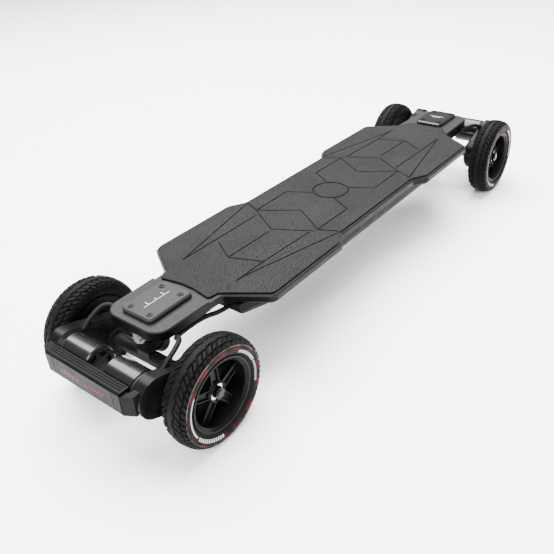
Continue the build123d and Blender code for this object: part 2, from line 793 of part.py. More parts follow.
port_x = -205.0
button_x = -245.0
side_z = 137.0
side_y = -104.0
with BuildPart() as enclosure:
    with BuildSketch(Plane.XY.offset(130)):
        enclosure_outline(386, 104, 316, 86)
    extrude(amount=deck_bottom - 130)
    with BuildSketch(Plane.XY.offset(enclosure_floor)):
        enclosure_outline(370, 96, 314, 77)
    with BuildSketch(Plane.XY.offset(130)):
        enclosure_outline(386, 104, 316, 86)
    loft(ruled=True)
    with BuildSketch(Plane.XY.offset(130)):
        enclosure_outline(383, 101, 315, 83)
    extrude(amount=deck_bottom - 130, mode=Mode.SUBTRACT)
    with BuildSketch(Plane.XY.offset(enclosure_floor + enclosure_wall)):
        enclosure_outline(369, 94, 313, 76)
    with BuildSketch(Plane.XY.offset(130)):
        enclosure_outline(383, 101, 315, 83)
    loft(ruled=True, mode=Mode.SUBTRACT)
    with BuildSketch(Plane.XY.offset(enclosure_floor)):
        with GridLocations(155, 172, 5, 2):
            Circle(4.6)
    extrude(amount=deck_bottom - enclosure_floor)
    with BuildSketch(Plane.XY.offset(enclosure_floor)):
        with GridLocations(155, 172, 5, 2):
            Circle(2.0)
    extrude(amount=deck_bottom - enclosure_floor, mode=Mode.SUBTRACT)
    with BuildSketch(Plane.XY.offset(enclosure_floor)):
        with GridLocations(155, 172, 5, 2):
            Circle(3.9)
    extrude(amount=2.2, mode=Mode.SUBTRACT)
    with BuildSketch(Plane.XY.offset(enclosure_floor)):
        with Locations((230, 0)):
            with GridLocations(0, 12, 1, 9):
                SlotOverall(150, 4)
    extrude(amount=1.2, mode=Mode.SUBTRACT)
    with BuildSketch(upright(side_y - 2)):
        with Locations((button_x, side_z)):
            Circle(5.7)
        with Locations((port_x, side_z)):
            Circle(6.6)
    extrude(amount=-8, mode=Mode.SUBTRACT)
    for shift in (-6.5, 6.5):
        with BuildSketch(Plane.YZ.offset(port_x + shift - 1)):
            with Locations((side_y - 2.2, 128.6)):
                Circle(2.2)
            with Locations((side_y + 0.3, 128.9)):
                Rectangle(5, 3.4)
            with Locations((side_y - 2.2, 128.6)):
                Circle(1.05, mode=Mode.SUBTRACT)
        extrude(amount=2)
save(enclosure, "enclosure")

with BuildPart() as enclosure_screws:
    with BuildSketch(Plane.XY.offset(enclosure_floor + 2.2)):
        with GridLocations(155, 172, 5, 2):
            Circle(2.0)
    extrude(amount=deck_bottom + 9 - enclosure_floor - 2.2)
    with BuildSketch(Plane.XY.offset(enclosure_floor + 0.2)):
        with GridLocations(155, 172, 5, 2):
            Circle(3.7)
            RegularPolygon(1.6, 6, mode=Mode.SUBTRACT)
    extrude(amount=2)
save(enclosure_screws, "enclosure_screws")

cell_radius = 10.5
cell_length = 70.0
with BuildPart() as battery_cells:
    for row in (-1, 1):
        with BuildSketch(upright(row * 2)):
            with Locations((-117, enclosure_floor + enclosure_wall + 1 + cell_radius)):
                with GridLocations(22, 0, 18, 1):
                    Circle(cell_radius)
        extrude(amount=-row * cell_length)
save(battery_cells, "battery_cells")

with BuildPart() as controller:
    with BuildSketch(Plane.XY.offset(enclosure_floor + enclosure_wall)):
        with Locations((230, 0)):
            RectangleRounded(150, 130, 4)
    extrude(amount=14)
    with BuildSketch(Plane.XY.offset(enclosure_floor + enclosure_wall + 14)):
        with Locations((230, 0)):
            with GridLocations(0, 9, 1, 13):
                Rectangle(140, 2.4)
    extrude(amount=8)
save(controller, "motor_controller")

with BuildPart() as charge_port:
    sleeve_along_y(port_x, side_z, 6.6, 5.4, side_y, side_y + 14)
    bar_along_y(port_x, side_z, 6.6, side_y + 12, side_y + 15)
    sleeve_along_y(port_x, side_z, 7.0, 6.6, side_y + 3, side_y + 5)
    bar_along_y(port_x, side_z, 1.2, side_y + 4, side_y + 12)
save(charge_port, "charge_port")

hinge_y = side_y - 2.2
hinge_z = 128.6
with BuildPart() as port_cap:
    with BuildSketch(upright(side_y - 0.2)):
        with Locations((port_x, side_z + 0.8)):
            RectangleRounded(19, 13, 3)
        with Locations((port_x, 130.8)):
            Rectangle(10.4, 5)
    extrude(amount=2)
    bar_along_y(port_x, side_z, 4.6, side_y - 0.2, side_y + 2)
    with BuildSketch(Plane.YZ.offset(port_x - 5.2)):
        with Locations((hinge_y, hinge_z)):
            Circle(2.0)
    extrude(amount=10.4)
    with BuildSketch(Plane.YZ.offset(port_x - 7.6)):
        with Locations((hinge_y, hinge_z)):
            Circle(1.0)
    extrude(amount=15.2)
save(port_cap, "charge_port_cap")

with BuildPart() as power_button:
    bar_along_y(button_x, side_z, 5.6, side_y - 1.8, side_y + 4)
    fillet(power_button.edges().group_by(Axis.Y)[0], radius=0.8)
    bar_along_y(button_x, side_z, 7.2, side_y + 3.1, side_y + 4.6)
save(power_button, "power_button")
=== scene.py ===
"""Looks of the electric skateboard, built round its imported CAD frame.

Metres, in the frame of the CAD: +X is the front, +Y the left side, +Z up.
"""
import math

import bmesh
import bpy
import numpy as np
from mathutils import Matrix, Vector


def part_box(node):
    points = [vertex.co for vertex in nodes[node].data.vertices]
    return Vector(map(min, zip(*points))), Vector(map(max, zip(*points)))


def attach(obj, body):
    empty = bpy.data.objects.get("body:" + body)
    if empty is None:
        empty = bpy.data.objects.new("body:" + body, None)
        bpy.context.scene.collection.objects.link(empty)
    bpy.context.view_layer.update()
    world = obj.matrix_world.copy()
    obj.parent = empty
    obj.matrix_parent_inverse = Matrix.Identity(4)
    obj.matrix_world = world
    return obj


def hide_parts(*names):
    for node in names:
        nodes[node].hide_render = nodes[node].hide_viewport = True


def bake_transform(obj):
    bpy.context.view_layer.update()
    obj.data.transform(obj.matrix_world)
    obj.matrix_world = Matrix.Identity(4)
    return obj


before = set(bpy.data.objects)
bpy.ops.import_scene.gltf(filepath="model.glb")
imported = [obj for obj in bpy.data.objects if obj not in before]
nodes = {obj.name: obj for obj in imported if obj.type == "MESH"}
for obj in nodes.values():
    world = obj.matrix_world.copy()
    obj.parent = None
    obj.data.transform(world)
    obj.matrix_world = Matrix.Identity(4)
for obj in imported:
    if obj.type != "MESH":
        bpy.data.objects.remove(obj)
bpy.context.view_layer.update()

MM = 0.001
# How far the point midway between the axles stands ahead of the origin.
FRAME_SHIFT = 6.25 * MM
ENDS = (("front", 1), ("rear", -1))
SIDES = (("left", 1), ("right", -1))
CORNERS = [(end, side, ex, sy) for end, ex in ENDS for side, sy in SIDES]


def middle(node):
    """Centre of a CAD node's box."""
    low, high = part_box(node)
    return (low + high) / 2


axle_centre = {end: Vector((middle(end + "_axle").x, 0, middle(end + "_axle").z)) for end, _ in ENDS}
wheel_y = abs(middle("front_left_tyre").y)
tyre_low, tyre_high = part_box("front_left_tyre")
tyre_radius = (tyre_high.x - tyre_low.x) / 2
pad_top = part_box("grip_pad")[1].z


# ---- camera, floor and light ---------------------------------------------
def add_camera():
    """Camera behind the board's rear right corner, looking down along it."""
    azimuth, elevation, roll = math.radians(39.649), math.radians(32.8), math.radians(-3.604)
    distance = 1.314545
    target = Vector((-0.116057 + FRAME_SHIFT, 0.057414, 0))
    look = Vector(
        (
            math.cos(elevation) * math.cos(azimuth),
            math.cos(elevation) * math.sin(azimuth),
            -math.sin(elevation),
        )
    )
    level = look.cross(Vector((0, 0, 1))).normalized()
    above = level.cross(look)
    right = math.cos(roll) * level + math.sin(roll) * above
    up = -math.sin(roll) * level + math.cos(roll) * above
    turn = Matrix((right, up, -look)).transposed().to_4x4()
    data = bpy.data.cameras.new("camera")
    data.sensor_width = 36
    data.lens = 41.02
    data.clip_start = 0.01
    camera = bpy.data.objects.new("camera", data)
    camera.matrix_world = Matrix.Translation(target - distance * look) @ turn
    bpy.context.scene.collection.objects.link(camera)
    bpy.context.scene.camera = camera


def add_light(name, place, target, size, power, colour=(1, 1, 1)):
    """Soft rectangular lamp aimed at a point."""
    data = bpy.data.lights.new(name, "AREA")
    data.shape = "RECTANGLE"
    data.size, data.size_y = size
    data.energy = power
    data.color = colour
    lamp = bpy.data.objects.new(name, data)
    lamp.location = place
    aim = Vector(target) - Vector(place)
    lamp.rotation_euler = aim.to_track_quat("-Z", "Y").to_euler()
    bpy.context.scene.collection.objects.link(lamp)


def add_stage():
    """Pale floor that meets a pale surround."""
    mesh = bpy.data.meshes.new("floor")
    half = 9.0
    corners = [(-half, -half, 0), (half, -half, 0), (half, half, 0), (-half, half, 0)]
    mesh.from_pydata(corners, [], [(0, 1, 2, 3)])
    floor = bpy.data.objects.new("floor", mesh)
    bpy.context.scene.collection.objects.link(floor)
    material = bpy.data.materials.new("floor")
    material.use_nodes = True
    shader = material.node_tree.nodes["Principled BSDF"]
    shader.inputs["Base Color"].default_value = (0.95, 0.95, 0.95, 1)
    shader.inputs["Roughness"].default_value = 0.95
    shader.inputs["Specular IOR Level"].default_value = 0.1
    mesh.materials.append(material)
    world = bpy.data.worlds.new("studio")
    world.use_nodes = True
    world.node_tree.nodes["Background"].inputs["Color"].default_value = (1, 1, 1, 1)
    world.node_tree.nodes["Background"].inputs["Strength"].default_value = 0.55
    bpy.context.scene.world = world


add_camera()
add_stage()
add_light("overhead", (0.6, 0.9, 3.4), (0.0, 0.0, 0.0), (4.4, 4.0), 1150)
add_light("front_fill", (-2.6, -2.2, 3.2), (-0.3, -0.6, 0.0), (3.0, 2.4), 330)
add_light("rim", (-1.9, 0.3, 1.2), (-0.5, 0, 0.1), (0.9, 0.25), 20)


# ---- materials -------------------------------------------------------------
class Paint:
    """A node-based material being put together."""

    def __init__(self, name, colour, roughness, metallic=0.0, specular=0.05, coat=0.0, coat_roughness=0.1):
        self.material = bpy.data.materials.new(name)
        self.material.use_nodes = True
        self.tree = self.material.node_tree
        self.shader = self.tree.nodes["Principled BSDF"]
        self.set("Base Color", (*colour, 1))
        self.set("Roughness", roughness)
        self.set("Metallic", metallic)
        self.set("Specular IOR Level", specular)
        self.set("Coat Weight", coat)
        self.set("Coat Roughness", coat_roughness)
        self.material.diffuse_color = (*colour, 1)
        self._place = None

    def set(self, socket, value):
        """Set one of the shader's own sockets."""
        self.shader.inputs[socket].default_value = value

    def node(self, kind, **settings):
        """Add a node with its settings."""
        made = self.tree.nodes.new(kind)
        for key, value in settings.items():
            setattr(made, key, value)
        return made

    def link(self, start, end):
        """Join two sockets."""
        self.tree.links.new(start, end)

    def place(self):
        """Object coordinates, in metres."""
        if self._place is None:
            self._place = self.node("ShaderNodeTexCoord").outputs["Object"]
        return self._place

    def noise(self, scale, detail=2.0, roughness=0.5, vector=None):
        """Soft noise between 0 and 1."""
        made = self.node("ShaderNodeTexNoise")
        made.inputs["Scale"].default_value = scale
        made.inputs["Detail"].default_value = detail
        made.inputs["Roughness"].default_value = roughness
        self.link(vector or self.place(), made.inputs["Vector"])
        return made.outputs["Fac"]

    def cells(self, scale, feature="F1", vector=None):
        """Outputs of a cell texture."""
        made = self.node("ShaderNodeTexVoronoi", feature=feature)
        made.inputs["Scale"].default_value = scale
        self.link(vector or self.place(), made.inputs["Vector"])
        return made.outputs

    def stretched(self, scale):
        """Object coordinates stretched by a factor along each axis."""
        made = self.node("ShaderNodeMapping")
        made.inputs["Scale"].default_value = scale
        self.link(self.place(), made.inputs["Vector"])
        return made.outputs["Vector"]

    def math(self, operation, first, second=None):
        """One sum on sockets or numbers."""
        made = self.node("ShaderNodeMath", operation=operation)
        for socket, value in zip(made.inputs, (first, second)):
            if value is None:
                continue
            if isinstance(value, (int, float)):
                socket.default_value = value
            else:
                self.link(value, socket)
        return made.outputs[0]

    def steps(self, value, stops, smooth=True):
        """Colour ramp over a value. Each stop is (place, colour)."""
        made = self.node("ShaderNodeValToRGB")
        made.color_ramp.interpolation = "LINEAR" if smooth else "CONSTANT"
        ramp = made.color_ramp.elements
        while len(ramp) < len(stops):
            ramp.new(0.5)
        for element, (position, colour) in zip(ramp, stops):
            element.position = position
            element.color = (*colour, 1) if len(colour) == 3 else colour
        self.link(value, made.inputs["Fac"])
        return made.outputs["Color"]

    def mix(self, factor, first, second):
        """Blend of two colours."""
        made = self.node("ShaderNodeMix", data_type="RGBA")
        self.link(factor, made.inputs["Factor"])
        for socket, value in ((made.inputs["A"], first), (made.inputs["B"], second)):
            if isinstance(value, tuple):
                socket.default_value = (*value, 1)
            else:
                self.link(value, socket)
        return made.outputs["Result"]

    def range(self, value, low, high, to_low=0.0, to_high=1.0):
        """Value moved from one range to another, held at the ends."""
        made = self.node("ShaderNodeMapRange")
        made.clamp = True
        for key, number in (("From Min", low), ("From Max", high), ("To Min", to_low), ("To Max", to_high)):
            made.inputs[key].default_value = number
        self.link(value, made.inputs["Value"])
        return made.outputs["Result"]

    def colour(self, output):
        """Drive the base colour."""
        self.link(output, self.shader.inputs["Base Color"])

    def rough(self, output):
        """Drive the roughness."""
        self.link(output, self.shader.inputs["Roughness"])

    def bump(self, height, strength, distance):
        """Fine relief from a height."""
        made = self.node("ShaderNodeBump")
        made.inputs["Strength"].default_value = strength
        made.inputs["Distance"].default_value = distance
        self.link(height, made.inputs["Height"])
        self.link(made.outputs["Normal"], self.shader.inputs["Normal"])

    def axis(self, name):
        """One component of the object coordinates."""
        made = self.node("ShaderNodeSeparateXYZ")
        self.link(self.place(), made.inputs["Vector"])
        return made.outputs[name]

    def facing(self, name):
        """One component of the surface's own direction, in the object's frame."""
        geometry = self.node("ShaderNodeTexCoord")
        made = self.node("ShaderNodeSeparateXYZ")
        self.link(geometry.outputs["Normal"], made.inputs["Vector"])
        return made.outputs[name]


def grit_paint():
    """Foam deck pad with a salt-and-pepper grit skin, black in its grooves and on its edge."""
    p = Paint("grit", (0.05, 0.05, 0.053), 0.85, specular=0.1)
    fine = p.noise(560, 3.0, 0.75)
    grain = p.cells(620)["Distance"]
    speck = p.steps(
        fine,
        [(0.41, (0.0006, 0.0006, 0.00065)), (0.5, (0.0032, 0.0032, 0.0034)), (0.6, (0.036, 0.036, 0.037))],
    )
    height = p.axis("Z")
    on_top = p.range(height, pad_top - 0.00055, pad_top - 0.0002)
    cloud = p.range(p.noise(9, 3.0), 0.3, 0.7, 0.8, 1.15)
    shade = p.node("ShaderNodeVectorMath", operation="SCALE")
    p.link(speck, shade.inputs[0])
    p.link(cloud, shade.inputs["Scale"])
    p.colour(p.mix(on_top, (0.0015, 0.0015, 0.0016), shade.outputs["Vector"]))
    p.rough(p.range(grain, 0.0, 0.7, 0.62, 0.95))
    p.bump(p.math("ADD", fine, p.math("MULTIPLY", grain, 0.6)), 0.55, 0.0005)
    return p.material


def deck_paint():
    """Dark composite deck, one skin whose colour is picked by facing direction: upward faces get a lighter
    satin grey as painted light, sides and underside get black as painted shade.
    """
    p = Paint("deck_shell", (0.03, 0.03, 0.031), 0.42, specular=0.08)
    flake = p.noise(900, 2.0, 0.6)
    cloud = p.noise(22, 4.0)
    # Painted light and shade by facing direction: lighter grey on upward faces, near-black on sides and
    # below.
    painted_light_by_facing = p.range(p.facing("Z"), 0.55, 0.95)
    grey = p.steps(
        flake,
        [(0.3, (0.010, 0.010, 0.0104)), (0.55, (0.019, 0.019, 0.0196)), (0.75, (0.042, 0.042, 0.043))],
    )
    side = p.steps(flake, [(0.35, (0.0008, 0.0008, 0.0008)), (0.7, (0.003, 0.003, 0.0031))])
    p.colour(p.mix(painted_light_by_facing, side, grey))
    p.rough(p.range(cloud, 0.3, 0.7, 0.36, 0.5))
    p.bump(flake, 0.12, 0.0002)
    return p.material


def cast_paint(name, colour, roughness, texture=700, strength=0.18, coat=0.0):
    """Powder-coated metal with a fine orange-peel skin and slight wear."""
    p = Paint(name, colour, roughness, specular=0.05, coat=coat * 0.15)
    peel = p.noise(texture, 3.0, 0.6)
    wear = p.noise(40, 5.0, 0.65)
    bright = tuple(min(1.0, c * 2.1 + 0.001) for c in colour)
    p.colour(p.steps(wear, [(0.42, colour), (0.72, bright)]))
    p.rough(p.range(wear, 0.3, 0.75, roughness * 0.85, min(1.0, roughness * 1.25)))
    p.bump(peel, strength, 0.0002)
    return p.material


def turned_paint(name, colour, roughness, metallic=1.0, streak=(20, 1400, 20), contrast=0.25):
    """Turned or brushed metal with fine streaks across one axis."""
    p = Paint(name, colour, roughness, metallic=metallic)
    lines = p.noise(1.0, 3.0, 0.6, p.stretched(streak))
    low = tuple(c * (1 - contrast) for c in colour)
    high = tuple(min(1.0, c * (1 + contrast)) for c in colour)
    p.colour(p.steps(lines, [(0.3, low), (0.7, high)]))
    p.rough(p.range(lines, 0.3, 0.7, roughness * 0.8, min(1.0, roughness * 1.3)))
    p.bump(lines, 0.08, 0.0001)
    return p.material


def motor_paint():
    """Gloss black anodised motor can, faintly turned round its axis."""
    p = Paint("motor_gloss", (0.002, 0.002, 0.0022), 0.2, specular=0.3, coat=0.12)
    lines = p.noise(1.0, 2.0, 0.5, p.stretched((15, 1600, 15)))
    p.colour(p.steps(lines, [(0.3, (0.002, 0.002, 0.0022)), (0.7, (0.005, 0.005, 0.0054))]))
    p.rough(p.range(lines, 0.3, 0.7, 0.16, 0.27))
    p.bump(lines, 0.05, 0.0001)
    return p.material


def cover_paint(name, colour, roughness, coat=0.0):
    """Neck cover: fine cast grain on its top face; side faces get one flat near-black by facing direction, a
    painted light and shade that is darker than the top on the grey cover.
    """
    p = Paint(name, colour, roughness, specular=0.12, coat=coat)
    grain = p.noise(1100, 2.0, 0.6)
    cloud = p.noise(35, 4.0)
    painted_light_by_facing = p.range(p.facing("Z"), 0.5, 0.9)
    low = tuple(c * 0.82 for c in colour)
    high = tuple(min(1.0, c * 1.22) for c in colour)
    # Side faces are given a fixed near-black by facing direction instead of the cover's own colour: painted
    # shade on the grey cover.
    p.colour(p.mix(painted_light_by_facing, (0.008, 0.008, 0.0085), p.steps(grain, [(0.32, low), (0.7, high)])))
    p.rough(p.range(cloud, 0.3, 0.7, roughness * 0.85, roughness * 1.2))
    p.bump(grain, 0.1, 0.0002)
    return p.material


def tread_paint():
    """Tyre rubber: dark blocks, groove floors darkened to near-black as painted shade, and a wine-red
    streaked band on the outer wall.
    """
    p = Paint("tyre_rubber", (0.035, 0.035, 0.037), 0.62, specular=0.06)
    x, y, z = p.axis("X"), p.axis("Y"), p.axis("Z")
    radius = p.math("SQRT", p.math("ADD", p.math("MULTIPLY", x, x), p.math("MULTIPLY", z, z)))
    scuff = p.noise(260, 4.0, 0.6)
    cloud = p.noise(28, 3.0, 0.6)
    rubber = p.steps(
        scuff,
        [(0.3, (0.0006, 0.0006, 0.0006)), (0.62, (0.0022, 0.0022, 0.0023)), (0.8, (0.011, 0.011, 0.0115))],
    )
    worn = p.mix(p.range(cloud, 0.35, 0.7), rubber, (0.0036, 0.0036, 0.0038))
    # Groove depth from the tyre mesh darkens the groove floors to near-black: painted shade in the recesses.
    attribute = p.node("ShaderNodeAttribute", attribute_name="groove_painted_shade")
    surface = p.mix(p.range(attribute.outputs["Fac"], 0.25, 0.85), worn, (0.0004, 0.0004, 0.0004))
    angle = p.math("ARCTAN2", z, x)
    round_place = p.node("ShaderNodeCombineXYZ")
    p.link(p.math("MULTIPLY", angle, 1.3), round_place.inputs["X"])
    p.link(p.math("MULTIPLY", radius, 26.0), round_place.inputs["Y"])
    streak = p.noise(2.2, 4.0, 0.65, round_place.outputs["Vector"])
    band = p.math("MULTIPLY", p.range(radius, 0.0665, 0.0685), p.range(radius, 0.0755, 0.0770, 1.0, 0.0))
    outer = p.range(y, 0.012, 0.016)
    blot = p.range(p.math("SINE", p.math("MULTIPLY", angle, 13.0)), -0.55, 0.35)
    brush = p.math("MULTIPLY", p.range(streak, 0.40, 0.62), blot)
    red = p.math("MULTIPLY", p.math("MULTIPLY", band, outer), brush)
    wine = p.steps(p.noise(90, 3.0), [(0.3, (0.035, 0.0008, 0.0026)), (0.7, (0.085, 0.002, 0.006))])
    line = p.math("MULTIPLY", p.range(radius, 0.0768, 0.0771), p.range(radius, 0.0776, 0.0779, 1.0, 0.0))
    cream = p.math("MULTIPLY", p.math("MULTIPLY", line, outer), p.range(streak, 0.4, 0.6))
    p.colour(p.mix(cream, p.mix(red, surface, wine), (0.16, 0.135, 0.115)))
    p.rough(p.range(scuff, 0.3, 0.75, 0.5, 0.78))
    p.bump(p.noise(900, 3.0, 0.6), 0.2, 0.0003)
    return p.material


def plain_paint(name, colour, roughness, grain=500, spread=0.3, **more):
    """Moulded plastic or rubber with a fine even grain."""
    p = Paint(name, colour, roughness, **more)
    skin = p.noise(grain, 3.0, 0.6)
    low = tuple(c * (1 - spread) for c in colour)
    high = tuple(min(1.0, c * (1 + spread)) for c in colour)
    p.colour(p.steps(skin, [(0.3, low), (0.7, high)]))
    p.rough(p.range(p.noise(30, 3.0), 0.3, 0.7, roughness * 0.85, min(1.0, roughness * 1.15)))
    p.bump(skin, 0.15, 0.0002)
    return p.material


def braid_paint():
    """Woven cable sleeve: a fine crossed weave round the cable."""
    p = Paint("braid", (0.012, 0.012, 0.013), 0.6, specular=0.12)
    first = p.node("ShaderNodeTexWave", bands_direction="DIAGONAL")
    first.inputs["Scale"].default_value = 260
    p.link(p.place(), first.inputs["Vector"])
    flipped = p.stretched((1, -1, 1))
    second = p.node("ShaderNodeTexWave", bands_direction="DIAGONAL")
    second.inputs["Scale"].default_value = 260
    p.link(flipped, second.inputs["Vector"])
    weave = p.math("MULTIPLY", first.outputs["Fac"], second.outputs["Fac"])
    p.colour(p.steps(weave, [(0.1, (0.0012, 0.0012, 0.0012)), (0.6, (0.010, 0.010, 0.0105))]))
    p.rough(p.range(weave, 0.0, 0.7, 0.75, 0.42))
    p.bump(weave, 0.4, 0.0003)
    return p.material


paints = {
    "grit": grit_paint(),
    "deck": deck_paint(),
    "enclosure": plain_paint("enclosure_plastic", (0.003, 0.003, 0.0032), 0.48, 380),
    "cells": plain_paint("cell_wrap", (0.03, 0.12, 0.25), 0.35, 120),
    "controller": turned_paint("controller_alloy", (0.12, 0.12, 0.125), 0.4),
    "plastic": plain_paint("black_plastic", (0.004, 0.004, 0.004), 0.4),
    "rubber": plain_paint("soft_rubber", (0.004, 0.004, 0.004), 0.75, 700),
    "bolt": turned_paint("black_oxide", (0.02, 0.02, 0.021), 0.34, streak=(500, 500, 30)),
    "cover_grey": cover_paint("cover_grey", (0.019, 0.019, 0.0196), 0.4),
    "cover_black": cover_paint("cover_black", (0.003, 0.003, 0.0033), 0.2, coat=0.5),
    "cast": cast_paint("cast_black", (0.0035, 0.0035, 0.0037), 0.42),
    "case": cast_paint("case_black", (0.0028, 0.0028, 0.003), 0.3, 500, 0.1, coat=0.25),
    "bumper": cast_paint("bumper_black", (0.002, 0.002, 0.0021), 0.42, 900, 0.15),
    "steel": turned_paint("zinc_steel", (0.42, 0.42, 0.43), 0.3),
    "gear": turned_paint("gear_steel", (0.36, 0.36, 0.37), 0.32),
    "bearing": turned_paint("bearing_steel", (0.55, 0.55, 0.57), 0.2),
    "stator": turned_paint("stator_lamination", (0.02, 0.019, 0.018), 0.5, 0.6),
    "motor": motor_paint(),
    "bushing": plain_paint("bushing_urethane", (0.005, 0.005, 0.0053), 0.45, 300),
    "button": turned_paint("button_alloy", (0.3, 0.3, 0.31), 0.3),
    "tyre": tread_paint(),
    "rim": cast_paint("rim_black", (0.0016, 0.0016, 0.0017), 0.38, 600, 0.12, coat=0.2),
    "braid": braid_paint(),
    "white": plain_paint("mark_white", (0.40, 0.40, 0.395), 0.55, 400, 0.08),
    "red": plain_paint("mark_red", (0.10, 0.003, 0.009), 0.4, 300, 0.25),
}


def repaint(node, key):
    """Give a CAD node a detailed material."""
    mesh = nodes[node].data
    mesh.materials.clear()
    mesh.materials.append(paints[key])


finishes = {
    "deck": "deck", "grip_pad": "grit", "enclosure": "enclosure", "battery_cells": "cells",
    "motor_controller": "controller", "charge_port": "plastic", "charge_port_cap": "rubber",
    "truck_bolts": "bolt", "enclosure_screws": "bolt", "rear_cover": "cover_grey",
    "front_cover": "cover_black", "deck_kingpins": "steel", "deck_bushings": "bushing",
    "power_button": "button", "rear_bumper": "bumper",
}
for end, _ in ENDS:
    finishes.update({
        end + "_baseplate": "cast", end + "_link": "cast", end + "_hanger": "cast",
        end + "_link_kingpin": "steel", end + "_link_bushings": "bushing", end + "_axle": "bolt",
        end + "_gear_cases": "case", end + "_gear_covers": "case", end + "_motor_stators": "stator",
        end + "_motor_cables": "braid",
    })
    for side, _ in SIDES:
        corner = end + "_" + side
        finishes.update({
            corner + "_motor_rotor": "motor", corner + "_idler_gear": "gear", corner + "_wheel_gear": "gear",
            corner + "_wheel_bearings": "bearing", corner + "_rim": "rim", corner + "_tyre": "tyre",
        })
for node, key in finishes.items():
    repaint(node, key)


# ---- mesh helpers ----------------------------------------------------------
def new_piece(name, mesh, paint, smooth_angle=None):
    """Object made from a mesh, with a material and optional smooth shading."""
    piece = bpy.data.objects.new(name, mesh)
    bpy.context.scene.collection.objects.link(piece)
    mesh.materials.clear()
    mesh.materials.append(paints[paint])
    if smooth_angle is not None:
        mesh.shade_smooth()
        mesh.set_sharp_from_angle(angle=math.radians(smooth_angle))
    return piece


def revolved_mesh(name, profile, steps):
    """Closed solid made by turning a closed profile of (radius, y) points round the Y axis."""
    count = len(profile)
    points = []
    for k in range(steps):
        a = 2 * math.pi * k / steps
        points += [(r * math.cos(a), y, r * math.sin(a)) for r, y in profile]
    faces = []
    for k in range(steps):
        here, ahead = k * count, (k + 1) % steps * count
        for j in range(count):
            following = (j + 1) % count
            faces.append((here + j, here + following, ahead + following, ahead + j))
    mesh = bpy.data.meshes.new(name)
    mesh.from_pydata(points, [], faces)
    tidy_normals(mesh)
    return mesh


def tidy_normals(mesh):
    """Turn a closed mesh's faces outwards."""
    work = bmesh.new()
    work.from_mesh(mesh)
    bmesh.ops.recalc_face_normals(work, faces=work.faces)
    work.to_mesh(mesh)
    work.free()


# ---- tyres -----------------------------------------------------------------
TREAD_STEPS = 650
TREAD_PITCHES = 26
TREAD_DEPTH = 2.4 * MM


def wall_point(share):
    """Outer tyre surface from one bead lip (0) over the tread (0.5) to the other (1): radius and offset."""
    half = (tyre_high.y - tyre_low.y) / 2
    keys = [
        (61.2 * MM, 17.6 * MM), (66 * MM, 21.4 * MM),
        (72 * MM, half - 0.2 * MM), (77.5 * MM, half - 0.9 * MM),
        (81.8 * MM, 20.6 * MM), (84.9 * MM, 15.5 * MM), (86.7 * MM, 8.5 * MM), (tyre_radius - 0.1 * MM, 0.0),
    ]
    mirrored = [(r, -y) for r, y in keys[:-1]]
    path = keys + mirrored[::-1]
    place = share * (len(path) - 1)
    k = min(int(place), len(path) - 2)
    t = place - k
    before, start, stop, after = (path[min(max(k + d, 0), len(path) - 1)] for d in (-1, 0, 1, 2))

    def curve(i):
        """Smooth value of one coordinate between two of the wall's points."""
        a, b, c, d = before[i], start[i], stop[i], after[i]
        square, cube = 2 * a - 5 * b + 4 * c - d, 3 * b - a - 3 * c + d
        return 0.5 * (2 * b + (c - a) * t + square * t**2 + cube * t**3)

    return curve(0), curve(1)


def groove_amount(turn, across):
    """How deep the tread is cut, from 0 to 1. turn counts tread pitches and across goes from -1 to 1."""
    side = np.where(across >= 0, 1.0, -1.0)
    reach = np.abs(across)
    wave = np.abs((turn * 1.0 + 0.25 * (side > 0)) % 1.0 - 0.5) * 2
    rings = np.minimum(np.abs(reach - (0.16 + 0.07 * wave)), np.abs(reach - (0.56 + 0.05 * wave))) / 0.030
    swept = (turn + 0.5 * (side > 0) + 1.25 * np.sin(reach * 1.35)) % 1.0
    cross = np.abs(swept - 0.5) / (0.085 - 0.02 * reach)
    cross = np.where(reach < 0.12, 9.0, cross)
    half_step = (turn + 0.5 * (side > 0) + 0.5 + 1.25 * np.sin(reach * 1.35)) % 1.0
    sipe = np.abs(half_step - 0.5) / 0.045
    sipe = np.where((reach > 0.22) & (reach < 0.50) | (reach > 0.66), sipe, 9.0)
    nearest = np.minimum(np.minimum(rings, cross), sipe)
    return np.clip(1.6 - nearest, 0.0, 1.0) * np.where(reach < 1.0, 1.0, 0.0)


